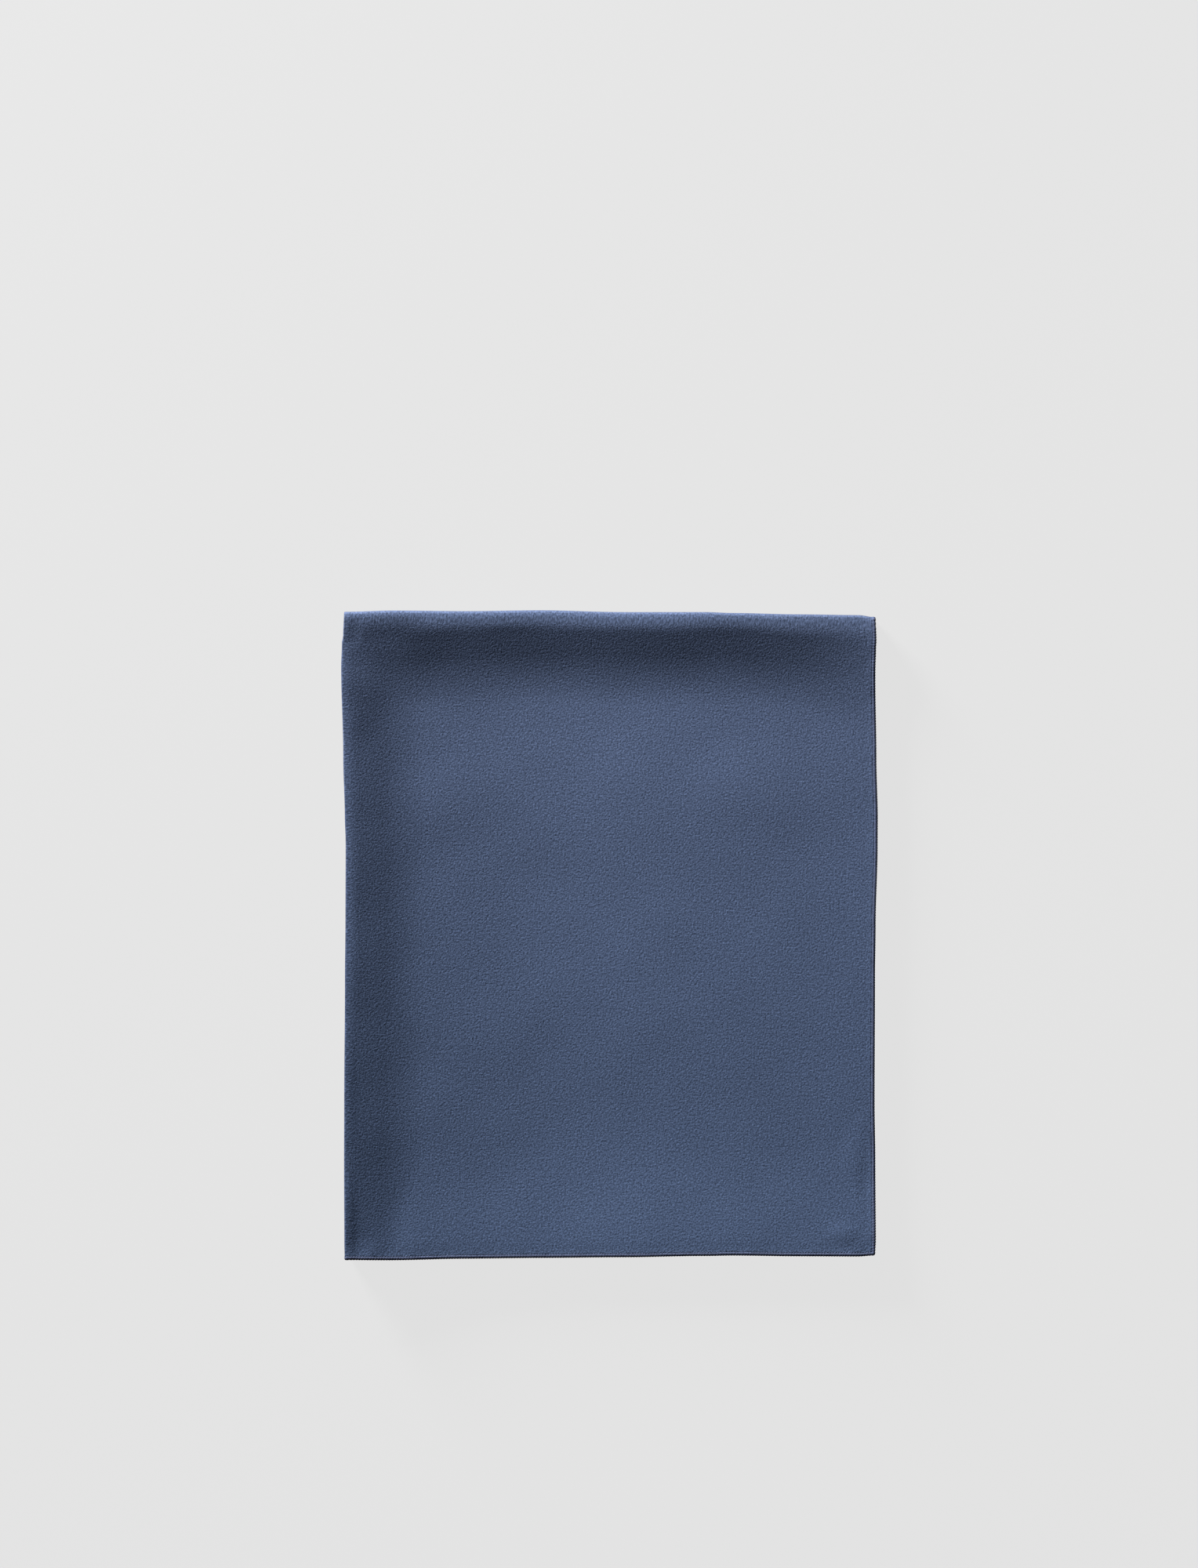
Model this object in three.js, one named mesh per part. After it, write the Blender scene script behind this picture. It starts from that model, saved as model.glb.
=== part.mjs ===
// A long crepe scarf, folded into eight plies and laid flat with its thick rolled fold at the top.
// Millimetres, +Z up, +X towards the open hemmed edges, +Y towards the rolled fold.

import * as THREE from 'three';

// The sheet as it was cut and hemmed
const SHEET_WIDTH = 700;
const SHEET_LENGTH = 1700;
const WALL = 1.0;
const HEM_WIDTH = 2.6;
const SEAM_GAP = 0.3;

// The stack: the sheet is halved across its width, then halved twice along its length
const RUN_COUNT = 4;
const PLY_PITCH = 1.4;
const SIDE_SPREAD = 1.5;
const LENGTH_SPREAD = 0.5;
const ROLL_REACH = 3.2;
const INNER_FOLD_IN = 3.0;
const BOTTOM_FOLD_IN = 1.0;
const INNER_END_IN = 1.6;

// The colour and finish of the cloth and of its hems
const CLOTH_COLOUR = 0x4a5872;
const HEM_COLOUR = 0x545a6d;
const CLOTH_ROUGHNESS = 0.85;

// Steps of the mesh: how far each lies from the rolled fold and from the crease, and the least
// that a step keeps from the end of its run
const STEPS_FROM_TOP = [9, 16, 24, 34, 46, 62, 90, 135, 190, 250, 310, 365, 402, 416];
const STEPS_FROM_CREASE = [6, 14, 24, 36, 50, 80, 130, 190, 250, 305, 335];
const END_CLEARANCE = 1;
const ROLL_STEPS = 8;
const FOLD_STEPS = 4;

// Ends and folds in the order that the path meets them, from the end that lies on top, and how
// far the crease and the two leaves' open edges lie inside the outline at each
const TURNS = [
  { name: 'outer end', crease: 0.5, outerLeaf: 0.0, innerLeaf: 1.3 },
  { name: 'top roll', crease: 0.3, outerLeaf: 0.0, innerLeaf: 0.8 },
  { name: 'bottom fold', crease: 0.0, outerLeaf: 0.9, innerLeaf: 1.6 },
  { name: 'inner fold', crease: 0.2, outerLeaf: 1.2, innerLeaf: 0.7 },
  { name: 'inner end', crease: 0.7, outerLeaf: 0.6, innerLeaf: 1.4 },
];

// How far the left and right edges lie inside the widest outline, going down from the top
const SIDE_EDGES = [
  { fromTop: 0, left: 2.1, right: 1.7 },
  { fromTop: 16, left: 1.5, right: 1.2 },
  { fromTop: 20, left: 0.7, right: 1.4 },
  { fromTop: 36, left: 0.2, right: 1.7 },
  { fromTop: 95, left: 1.5, right: 0.9 },
  { fromTop: 134, left: 2.5, right: 0.0 },
  { fromTop: 152, left: 3.1, right: 0.1 },
  { fromTop: 205, left: 2.9, right: 1.4 },
  { fromTop: 240, left: 2.6, right: 1.8 },
  { fromTop: 325, left: 2.1, right: 2.1 },
  { fromTop: 360, left: 2.0, right: 1.6 },
  { fromTop: 415, left: 2.2, right: 1.4 },
  { fromTop: 425, left: 2.4, right: 1.8 },
];

// How far the top and bottom edges lie inside the tallest outline, going right from the crease
const END_EDGES = [
  { fromLeft: 0, top: 1.2, bottom: 0.6 },
  { fromLeft: 33, top: 0.3, bottom: 0.0 },
  { fromLeft: 80, top: 0.6, bottom: 0.6 },
  { fromLeft: 130, top: 0.0, bottom: 0.9 },
  { fromLeft: 185, top: 1.2, bottom: 1.3 },
  { fromLeft: 239, top: 1.2, bottom: 2.1 },
  { fromLeft: 257, top: 1.8, bottom: 2.4 },
  { fromLeft: 300, top: 2.6, bottom: 1.9 },
  { fromLeft: 340, top: 3.1, bottom: 1.8 },
  { fromLeft: 351, top: 4.4, bottom: 2.5 },
];

// Borders: how far in the ridge lies, where the slope behind it is steepest from and to, and its
// foot, then the share by which the ridge stands above the flat stack, and how much of that is
// lost at the edge
const TOP_ROLL = {
  side: 'top', ridge: 7, steep: 13, ease: 28, foot: 60, lift: 0.71, edgeLoss: 0.08,
};
const LEFT_ROLL = {
  side: 'left', ridge: -2, steep: 7.5, ease: 25, foot: 52, lift: 0.7, edgeLoss: 0.0,
};
const BOTTOM_ROLL = {
  side: 'bottom', ridge: 3, steep: 12, ease: 34, foot: 75, lift: 0.175, edgeLoss: 0.0,
};
const LEFT_RIM = {
  side: 'left', ridge: 22, steep: 50, ease: 60, foot: 165, lift: 0.54, edgeLoss: 0.0,
};
const RIGHT_RIM = {
  side: 'right', ridge: 3, steep: 8, ease: 12, foot: 60, lift: 0.05, edgeLoss: 0.0,
};
const ROLLS = [TOP_ROLL, LEFT_ROLL, BOTTOM_ROLL];
const RIMS = [LEFT_RIM, RIGHT_RIM];

// Towards a corner a border gets lower or wider: from how far along, over what length (less than
// nothing where that goes back), and the shares of lift that it loses and of width that it gains
const BORDER_ENDS = [
  { of: TOP_ROLL, from: 270, over: 80, loses: 0.3, widens: 0.3 },
  { of: LEFT_ROLL, from: 330, over: 90, loses: 0.1, widens: 0.0 },
  { of: LEFT_RIM, from: 56, over: -56, loses: 0.42, widens: 0.0 },
  { of: TOP_ROLL, from: 85, over: -65, loses: 0.0, widens: 0.15 },
];

// Soft swells and hollows of the top ply: centre, half widths and the share of lift
const SWELLS = [
  { fromLeft: 175, fromTop: 122, across: 190, along: 70, lift: 0.065 },
  { fromLeft: 70, fromTop: 125, across: 50, along: 36, lift: 0.035 },
  { fromLeft: 275, fromTop: 118, across: 60, along: 40, lift: 0.05 },
  { fromLeft: 190, fromTop: 335, across: 220, along: 85, lift: -0.08 },
  { fromLeft: 60, fromTop: 345, across: 60, along: 60, lift: 0.035 },
  { fromLeft: 338, fromTop: 322, across: 30, along: 35, lift: 0.035 },
  { fromLeft: 0, fromTop: 0, across: 80, along: 80, lift: 0.14 },
  { fromLeft: 24, fromTop: 0, across: 40, along: 17, lift: 0.09 },
];

const FOLDED_WIDTH = SHEET_WIDTH / 2 + SIDE_SPREAD;
const FOLDED_LENGTH = SHEET_LENGTH / RUN_COUNT + LENGTH_SPREAD;
const CREASE_RADIUS = PLY_PITCH / 2;
const PAIR_HALF = CREASE_RADIUS + WALL / 2;
const ROLL_START = FOLDED_LENGTH - PAIR_HALF - ROLL_REACH;
const INNER_FOLD_START = ROLL_START - INNER_FOLD_IN;
const BOTTOM_FOLD_START = BOTTOM_FOLD_IN + PLY_PITCH + PAIR_HALF;
const HEM_AND_GAP = HEM_WIDTH + SEAM_GAP;

// A hem's section: how far in from the cloth's edge, and off its middle, as shares of its size
const HEM_SECTION = [
  { inward: 1.0, off: 0.5 },
  { inward: 0.2, off: 0.5 },
  { inward: 0.0, off: 0.18 },
  { inward: 0.0, off: -0.18 },
  { inward: 0.2, off: -0.5 },
  { inward: 1.0, off: -0.5 },
];

const { clamp, lerp, smoothstep } = THREE.MathUtils;

// A column's value at a place between the rows of a table, eased from row to row
function eased(rows, placeColumn, place, column) {
  const next = rows.findIndex((row) => row[placeColumn] >= place);
  if (next === 0) {
    return rows[0][column];
  }
  if (next < 0) {
    return rows[rows.length - 1][column];
  }
  const [before, after] = [rows[next - 1], rows[next]];
  const share = smoothstep(place, before[placeColumn], after[placeColumn]);
  return lerp(before[column], after[column], share);
}

// How far a slope has fallen that grows from nothing to full between two distances
function ramp(distance, start, stop) {
  const inside = clamp(distance - start, 0, stop - start);
  return inside ** 2 / (2 * (stop - start)) + Math.max(distance - stop, 0);
}

// The share by which a border stands up at a distance in from its edge
function rollLift(roll, distance) {
  if (distance < roll.ridge) {
    return roll.lift - roll.edgeLoss * Math.min(1 - distance / roll.ridge, 1) ** 3;
  }
  const fallen = ramp(distance, roll.ridge, roll.steep) - ramp(distance, roll.ease, roll.foot);
  const whole = (roll.ease + roll.foot - roll.ridge - roll.steep) / 2;
  return roll.lift * (1 - fallen / whole);
}

// The share by which a border stands up at a place, with its easing at the corners
function borderLift(border, distances, fromLeft, fromTop) {
  const along = border.side === 'top' ? fromLeft : fromTop;
  let distance = distances[border.side];
  let kept = 1;
  for (const end of BORDER_ENDS.filter((row) => row.of === border)) {
    const share = smoothstep((along - end.from) / end.over, 0, 1);
    distance /= 1 + end.widens * share;
    kept *= 1 - end.loses * share;
  }
  return kept * Math.max(rollLift(border, distance), 0);
}

// The share by which a swell or hollow changes the stack's height
function swellLift(swell, fromLeft, fromTop) {
  const reach = Math.hypot(
    (fromLeft - swell.fromLeft) / swell.across,
    (fromTop - swell.fromTop) / swell.along,
  );
  return swell.lift * (1 - smoothstep(reach, 0, 1));
}

// How many times its flat height the stack has at a place in its outline
function puff(fromLeft, fromTop) {
  const distances = {
    top: fromTop,
    left: fromLeft,
    bottom: FOLDED_LENGTH - fromTop,
    right: FOLDED_WIDTH - fromLeft,
  };
  const total = (lifts) => lifts.reduce((sum, lift) => sum + lift, 0);
  const border = (row) => borderLift(row, distances, fromLeft, fromTop);
  const rolled = Math.cbrt(total(ROLLS.map((roll) => border(roll) ** 3)));
  const swells = SWELLS.map((swell) => swellLift(swell, fromLeft, fromTop));
  return 1 + rolled + total(RIMS.map(border)) + total(swells);
}

// Moves a point of the neat flat stack to where it lies in the settled scarf
function settle(point) {
  const fromTop = FOLDED_LENGTH - point.y;
  const left = eased(SIDE_EDGES, 'fromTop', fromTop, 'left');
  const right = eased(SIDE_EDGES, 'fromTop', fromTop, 'right');
  const top = eased(END_EDGES, 'fromLeft', point.x, 'top');
  const bottom = eased(END_EDGES, 'fromLeft', point.x, 'bottom');
  return new THREE.Vector3(
    point.x + lerp(left, -right, point.x / FOLDED_WIDTH),
    point.y + lerp(bottom, -top, point.y / FOLDED_LENGTH),
    point.z * puff(point.x, fromTop),
  );
}

// Height of the middle of a pair of leaves above the surface, counted from the lowest run
function runHeight(run) {
  return WALL / 2 + PLY_PITCH * (2 * run + 0.5);
}

// Stations of a straight run: place, the direction off the outer leaf, and the turn it is near
function straightRun(run, fromY, toY, firstTurn) {
  const heading = Math.sign(toY - fromY);
  const inside = STEPS_FROM_TOP.map((step) => FOLDED_LENGTH - step)
    .filter((y) => Math.min((y - fromY) * heading, (toY - y) * heading) > END_CLEARANCE)
    .sort((a, b) => (a - b) * heading);
  return [fromY, ...inside, toY].map((y) => ({
    y,
    z: runHeight(run),
    normalY: 0,
    normalZ: heading,
    turn: firstTurn + (y - fromY) / (toY - fromY),
  }));
}

// Stations of a half turn from one run to another, without the two that the runs already have
function halfTurn(fromRun, toRun, startY, reach, steps, turn) {
  const middle = (runHeight(fromRun) + runHeight(toRun)) / 2;
  const rise = runHeight(fromRun) - middle;
  const stations = [];
  for (let step = 1; step < steps; step += 1) {
    const angle = (Math.PI * step) / steps;
    const normal = new THREE.Vector2(rise * Math.sin(angle), reach * Math.cos(angle)).normalize();
    stations.push({
      y: startY + reach * Math.sin(angle),
      z: middle + rise * Math.cos(angle),
      normalY: normal.x,
      normalZ: normal.y,
      turn,
    });
  }
  return stations;
}

// The folded length from its outer end to its inner end, shortened at both ends by an inset
function foldedLength(inset) {
  return [
    ...straightRun(3, inset, ROLL_START, 0),
    ...halfTurn(3, 0, ROLL_START, ROLL_REACH, ROLL_STEPS, 1),
    ...straightRun(0, ROLL_START, BOTTOM_FOLD_START, 1),
    ...halfTurn(0, 1, BOTTOM_FOLD_START, -PLY_PITCH, FOLD_STEPS, 2),
    ...straightRun(1, BOTTOM_FOLD_START, INNER_FOLD_START, 2),
    ...halfTurn(1, 2, INNER_FOLD_START, PLY_PITCH, FOLD_STEPS, 3),
    ...straightRun(2, INNER_FOLD_START, INNER_END_IN + inset, 3),
  ];
}

// How far in the crease or a leaf's edge lies at a station
function insetAt(station, column) {
  const before = Math.min(Math.floor(station.turn), TURNS.length - 2);
  return lerp(TURNS[before][column], TURNS[before + 1][column], station.turn - before);
}

// Points across the doubled width, from the outer leaf's edge round the crease to the inner
// leaf's edge: place, offset from the pair's middle, and the direction off the outer face
function acrossFold(station, edgeInset) {
  const crease = insetAt(station, 'crease') + PAIR_HALF;
  const leaf = (column, side) => {
    const edge = FOLDED_WIDTH - insetAt(station, column) - edgeInset;
    const along = [...STEPS_FROM_CREASE.map((step) => crease + step), edge];
    return along.map((x) => ({ x, offset: side * CREASE_RADIUS, normalX: 0, normal: side }));
  };
  const round = [];
  for (let step = 0; step <= FOLD_STEPS; step += 1) {
    const angle = (Math.PI * step) / FOLD_STEPS;
    round.push({
      x: crease - CREASE_RADIUS * Math.sin(angle),
      offset: CREASE_RADIUS * Math.cos(angle),
      normalX: -Math.sin(angle),
      normal: Math.cos(angle),
    });
  }
  return [...leaf('outerLeaf', 1).reverse(), ...round, ...leaf('innerLeaf', -1)];
}

// A settled point, from a station along the length and a place and offset across it
function place(station, x, offset) {
  return settle(
    new THREE.Vector3(
      x,
      station.y + offset * station.normalY,
      station.z + offset * station.normalZ,
    ),
  );
}

// A closed body through rings of points, each ring an outward row and the same row back. Each
// patch is cut from its near left to its far right corner, so that stacked plies stay parallel.
function loft(rings) {
  const points = rings.flat();
  const count = rings[0].length;
  const half = count / 2;
  const index = [];
  const quad = (a, b, c, d) => {
    const span = points[c].clone().sub(points[a]);
    if (span.x * span.y > 0) {
      index.push(a, b, c, a, c, d);
    } else {
      index.push(b, c, d, b, d, a);
    }
  };
  for (let ring = 0; ring + 1 < rings.length; ring += 1) {
    for (let point = 0; point < count; point += 1) {
      const next = (point + 1) % count;
      const base = ring * count;
      quad(base + point, base + next, base + count + next, base + count + point);
    }
  }
  const last = (rings.length - 1) * count;
  for (let point = 0; point + 1 < half; point += 1) {
    const across = count - 1 - point;
    quad(across, across - 1, point + 1, point);
    quad(last + point, last + point + 1, last + across - 1, last + across);
  }
  const geometry = new THREE.BufferGeometry().setFromPoints(points);
  geometry.setIndex(index);
  geometry.computeVertexNormals();
  return geometry;
}

// The cloth: a thin wall across the doubled width, carried along the folded length
function clothGeometry() {
  const rings = foldedLength(HEM_AND_GAP).map((station) => {
    const across = acrossFold(station, HEM_AND_GAP);
    const face = (side) =>
      across.map((point) =>
        place(
          station,
          point.x + (side * point.normalX * WALL) / 2,
          point.offset + (side * point.normal * WALL) / 2,
        ),
      );
    return [...face(-1), ...face(1).reverse()];
  });
  return loft(rings);
}

// A long hem: its section carried along the folded length on one leaf's open edge
function sideHemGeometry(column, side) {
  const rings = foldedLength(HEM_AND_GAP).map((station) => {
    const edge = FOLDED_WIDTH - insetAt(station, column);
    return HEM_SECTION.map((point) =>
      place(
        station,
        edge - point.inward * HEM_WIDTH,
        side * CREASE_RADIUS + point.off * WALL,
      ),
    );
  });
  return loft(rings);
}

// A short hem: its section carried across the doubled width at one end of the folded length
function endHemGeometry(station) {
  const heading = station.normalZ;
  const inwards = station.turn === 0 ? heading : -heading;
  const rings = acrossFold(station, 0).map((point) =>
    HEM_SECTION.map((corner) =>
      place(
        { ...station, y: station.y + inwards * corner.inward * HEM_WIDTH },
        point.x + point.normalX * corner.off * WALL,
        point.offset + point.normal * corner.off * WALL,
      ),
    ),
  );
  return loft(inwards * heading > 0 ? rings.reverse() : rings);
}

const cloth = new THREE.MeshStandardMaterial({
  color: CLOTH_COLOUR,
  roughness: CLOTH_ROUGHNESS,
  metalness: 0,
});
const hem = new THREE.MeshStandardMaterial({
  color: HEM_COLOUR,
  roughness: CLOTH_ROUGHNESS,
  metalness: 0,
});

const scarf = new THREE.Group();

// Adds one named piece to the scarf
function addPiece(name, geometry, material) {
  const mesh = new THREE.Mesh(geometry, material);
  mesh.name = name;
  scarf.add(mesh);
}

const ends = foldedLength(0);
addPiece('crepe_panel', clothGeometry(), cloth);
addPiece('outer_side_hem', sideHemGeometry('outerLeaf', 1), hem);
addPiece('inner_side_hem', sideHemGeometry('innerLeaf', -1), hem);
addPiece('outer_end_hem', endHemGeometry(ends[0]), hem);
addPiece('inner_end_hem', endHemGeometry(ends[ends.length - 1]), hem);

// The middle of the underside is the origin
const box = new THREE.Box3().setFromObject(scarf);
const centre = box.getCenter(new THREE.Vector3());
scarf.position.set(-centre.x, -centre.y, -box.min.z);

export default scarf;
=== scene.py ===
# A long crepe scarf, folded into eight plies and laid flat with its thick rolled fold at the top.
# Its fold is worked out in millimetres, as in the part's source, and its meshes are in metres,
# with +Z up, +X towards the open hemmed edges and +Y towards the rolled fold.

import bpy
import numpy as np
from bpy.props import FloatProperty, FloatVectorProperty, IntProperty, PointerProperty
from bpy.types import Operator, Panel, PropertyGroup
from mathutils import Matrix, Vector


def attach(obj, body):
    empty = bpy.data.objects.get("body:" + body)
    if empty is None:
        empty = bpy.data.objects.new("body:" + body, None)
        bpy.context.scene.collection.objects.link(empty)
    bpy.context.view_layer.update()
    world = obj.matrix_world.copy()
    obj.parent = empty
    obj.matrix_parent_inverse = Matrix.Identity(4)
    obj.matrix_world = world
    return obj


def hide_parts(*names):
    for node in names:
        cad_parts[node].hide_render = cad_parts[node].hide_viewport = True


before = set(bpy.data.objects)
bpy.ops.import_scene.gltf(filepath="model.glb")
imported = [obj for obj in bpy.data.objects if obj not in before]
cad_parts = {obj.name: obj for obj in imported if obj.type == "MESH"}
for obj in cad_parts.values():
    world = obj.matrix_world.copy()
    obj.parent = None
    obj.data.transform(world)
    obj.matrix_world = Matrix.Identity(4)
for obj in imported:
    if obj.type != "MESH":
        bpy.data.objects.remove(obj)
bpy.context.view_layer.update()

bl_info = {
    "name": "Folded crepe scarf",
    "version": (1, 0, 0),
    "blender": (4, 5, 0),
    "location": "3D View > Sidebar > Scarf",
    "description": "Builds a folded crepe scarf with rolled hems, and the stage it lies on",
    "category": "Object",
}

BODY = "root"
MM = 0.001

# The sheet and its stack, as in the part's source
SHEET_WIDTH = 700.0
SHEET_LENGTH = 1700.0
SOLID_WALL = 1.0
RUN_COUNT = 4
PLY_PITCH = 1.4
SIDE_SPREAD = 1.5
LENGTH_SPREAD = 0.5
ROLL_REACH = 3.2
INNER_FOLD_IN = 3.0
BOTTOM_FOLD_IN = 1.0
INNER_END_IN = 1.6
FOLDED_WIDTH = SHEET_WIDTH / 2 + SIDE_SPREAD
FOLDED_LENGTH = SHEET_LENGTH / RUN_COUNT + LENGTH_SPREAD
CREASE_RADIUS = PLY_PITCH / 2
PAIR_HALF = CREASE_RADIUS + SOLID_WALL / 2
ROLL_START = FOLDED_LENGTH - PAIR_HALF - ROLL_REACH
INNER_FOLD_START = ROLL_START - INNER_FOLD_IN
BOTTOM_FOLD_START = BOTTOM_FOLD_IN + PLY_PITCH + PAIR_HALF


def named_rows(columns, *rows):
    """A table's rows, each with the names of its columns."""
    return [dict(zip(columns.split(), row)) for row in rows]


# Ends and folds in the order that the path meets them, and how far the crease and the two
# leaves' open edges lie inside the outline at each
TURNS = {
    "name": ("outer end", "top roll", "bottom fold", "inner fold", "inner end"),
    "crease": (0.5, 0.3, 0.0, 0.2, 0.7),
    "outer_leaf": (0.0, 0.0, 0.9, 1.2, 0.6),
    "inner_leaf": (1.3, 0.8, 1.6, 0.7, 1.4),
}

# How far the left and right edges lie inside the widest outline, going down from the top
SIDE_EDGES = {
    "from_top": (0, 16, 20, 36, 95, 134, 152, 205, 240, 325, 360, 415, 425),
    "left": (2.1, 1.5, 0.7, 0.2, 1.5, 2.5, 3.1, 2.9, 2.6, 2.1, 2.0, 2.2, 2.4),
    "right": (1.7, 1.2, 1.4, 1.7, 0.9, 0.0, 0.1, 1.4, 1.8, 2.1, 1.6, 1.4, 1.8),
}

# How far the top and bottom edges lie inside the tallest outline, going right from the crease
END_EDGES = {
    "from_left": (0, 33, 80, 130, 185, 239, 257, 300, 340, 351),
    "top": (1.2, 0.3, 0.6, 0.0, 1.2, 1.2, 1.8, 2.6, 3.1, 4.4),
    "bottom": (0.6, 0.0, 0.6, 0.9, 1.3, 2.1, 2.4, 1.9, 1.8, 2.5),
}

# Borders: how far in the ridge lies, where the slope behind it is steepest from and to, and its
# foot, then the share by which the ridge stands above the flat stack, and how much of that is
# lost at the edge. The solids leave out the low lips just inside the hems.
BORDER_COLUMNS = "name side ridge steep ease foot lift edge_loss"
ROLLS = named_rows(
    BORDER_COLUMNS,
    ("top roll", "top", 7, 13, 28, 60, 0.71, 0.08),
    ("left roll", "left", -2, 7.5, 25, 52, 0.7, 0.0),
    ("bottom roll", "bottom", 3, 12, 34, 75, 0.175, 0.0),
)
RIMS = named_rows(
    BORDER_COLUMNS,
    ("left rim", "left", 22, 50, 60, 165, 0.54, 0.0),
    ("right rim", "right", 3, 8, 12, 60, 0.05, 0.0),
)
LIPS = named_rows(
    BORDER_COLUMNS,
    ("right lip", "right", -0.5, 1.5, 4, 6.5, 0.025, 0.0),
    ("bottom lip", "bottom", -0.5, 1.5, 3.5, 6, 0.02, 0.0),
)

# Towards a corner a border gets lower or wider: from how far along, over what length (less than
# nothing where that goes back), and the shares of lift that it loses and of width that it gains
BORDER_ENDS = named_rows(
    "of from over loses widens",
    ("top roll", 270, 80, 0.3, 0.3),
    ("left roll", 330, 90, 0.1, 0.0),
    ("left rim", 56, -56, 0.42, 0.0),
    ("top roll", 85, -65, 0.0, 0.15),
)

# Soft swells and hollows of the top ply, and small dents by the hems, which the solids leave out:
# centre, half widths and the share of lift
SWELL_COLUMNS = "from_left from_top across along lift"
SWELLS = named_rows(
    SWELL_COLUMNS,
    (175, 122, 190, 70, 0.065),
    (70, 125, 50, 36, 0.035),
    (275, 118, 60, 40, 0.05),
    (190, 335, 220, 85, -0.08),
    (60, 345, 60, 60, 0.035),
    (338, 322, 30, 35, 0.035),
    (0, 0, 80, 80, 0.14),
    (24, 0, 40, 17, 0.09),
)
DENTS = named_rows(
    SWELL_COLUMNS,
    (338, 357, 12, 24, 0.032),
    (346, 380, 9, 22, -0.02),
    (331, 410, 15, 10, 0.036),
    (344, 336, 6, 8, 0.022),
    (112, 0, 42, 15, 0.05),
    (252, 0, 48, 15, 0.05),
    (0, 42, 8, 28, 0.02),
    (0, 195, 8, 60, -0.014),
    (0, 315, 8, 75, 0.045),
    (0, 405, 9, 55, 0.097),
    (30, 425, 40, 70, 0.05),
    (8, 384, 28, 38, 0.03),
    (54, 390, 30, 32, -0.03),
    (6.5, 13, 8, 14, -0.035),
    (8, 118, 24, 60, 0.032),
    (8, 71, 18, 19, 0.028),
    (26, 0, 30, 14, 0.03),
    (74, 0, 22, 12, 0.025),
    (17, 428, 18, 20, 0.058),
    (348, 0, 14, 11, -0.04),
)

# Slack of the plies: how long its waves are along and across the sheet, and how they are turned
SLACK_WAVES = {
    "along": (61.0, 97.0, 149.0, 211.0),
    "across": (83.0, 127.0, 71.0, 173.0),
    "start": (0.4, 2.1, 4.4, 5.3),
}

# Ripples along the open edges, where the rolled hem draws the cloth up
RIPPLE_WAVES = {"length": (14.0, 23.0, 37.0), "start": (0.3, 2.6, 4.9)}
RIPPLE_REACH = 9.0

# The rounding of the top fold and of the crease is drawn out to the edge: within how far of it,
# and by what power
SHOULDERS = {
    "top": {"within": 8.0, "power": 2.5},
    "left": {"within": 3.0, "power": 3.0},
}

# A column of points this far from the crease keeps its rounding narrow
CREASE_HOLD = 0.3

# Steps of a grid over the cloth: along its four runs, round the rolled fold and the small folds,
# and across its outer leaf, crease and inner leaf, then how far they crowd towards the ends
STEPS = {
    row["of"]: row
    for row in named_rows(
        "of runs turns across crowding",
        ("outline", (60, 60, 60, 60), (12, 6), (60, 6, 60), 0.3),
        ("cloth", (104, 46, 40, 46), (20, 6), (84, 8, 44), 0.55),
        ("side hem", (920, 920, 920, 920), (50, 8), (40, 6, 40), 0.9),
        ("end hem", (40, 20, 20, 40), (8, 6), (780, 8, 780), 0.0),
    )
}

# Beyond its line's ends a hem goes on to the corner and rounds off, with a ring at each of these
# angles of its rounding
HEM_END_ANGLES = (30, 55, 75)

# How much painted shade darkens each side of a hem, from its outward side round below and back over
# the top
SIDE_HEM_SHADE = (0.75, 0.2, 0.0, 0.0, 0.0, 0.1, 0.4, 0.65)
END_HEM_SHADE = (0.85, 0.2, 0.0, 0.0, 0.0, 0.15, 0.55, 0.85)

# The hems' nodes, the edge that each lies on, and how much painted shade darkens its sides
HEM_EDGES = (
    ("outer_side_hem", "outer_leaf", SIDE_HEM_SHADE),
    ("inner_side_hem", "inner_leaf", SIDE_HEM_SHADE),
    ("outer_end_hem", "outer_end", END_HEM_SHADE),
    ("inner_end_hem", "inner_end", END_HEM_SHADE),
)

# How much painted shade darkens the cloth where it turns over at the rolled fold
ROLL_EDGE_SHADE = 0.55

# Stitches: the shares of their width that they lie in from the hem and below the cloth's face,
# and the sides and rings of each
STITCH_BESIDE = 1 / 3
STITCH_SUNK = 0.35
STITCH_SEGMENTS = 6
STITCH_RINGS = 4

# The UV map of a piece is the place on the flat sheet, in metres. An attribute holds how much
# painted shade darkens each point, most near the outer turn of a hem, of the crease or of the
# rolled fold. On the hem lines another attribute says which way the cloth's face looks.
UV_NAME = "sheet"
EDGE_SHADE_NAME = "edge_shade"
FACING_NAME = "facing"

# The crepe's noises, its cells for each pebble and their smoothness, and how much the pebbles,
# cells and threads each add to its height
PEBBLE_NOISE = {"Detail": 2.0, "Roughness": 0.6, "Distortion": 0.7}
THREAD_NOISE = {"Detail": 1.0, "Roughness": 0.5}
CLOUD_NOISE = {"Detail": 2.0, "Roughness": 0.5}
CELLS_PER_PEBBLE = 1.35
CELL_SMOOTHNESS = 0.6
PEBBLE_SHARE = 0.65
CELL_SHARE = 0.35
THREAD_SHARE = 0.2

# The middle range of a noise, which is spread over a colour's whole range
NOISE_RANGE = (0.3, 0.7)

# The crepe's faint gloss, how much less rough its light flecks are, and the size of the hems'
# grain as a share of the cloth's
CREPE_SPECULAR = 0.04
FLECK_GLOSS = 0.08
HEM_GRAIN = 0.6

# The sewing thread's twist: how fine it is, its depth and strength, the share by which it changes
# the colour, and the thread's roughness
TWIST_SCALE = 2600.0
TWIST_DEPTH = 0.00006
TWIST_STRENGTH = 0.6
TWIST_CONTRAST = 0.25
THREAD_ROUGHNESS = 0.6

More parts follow.
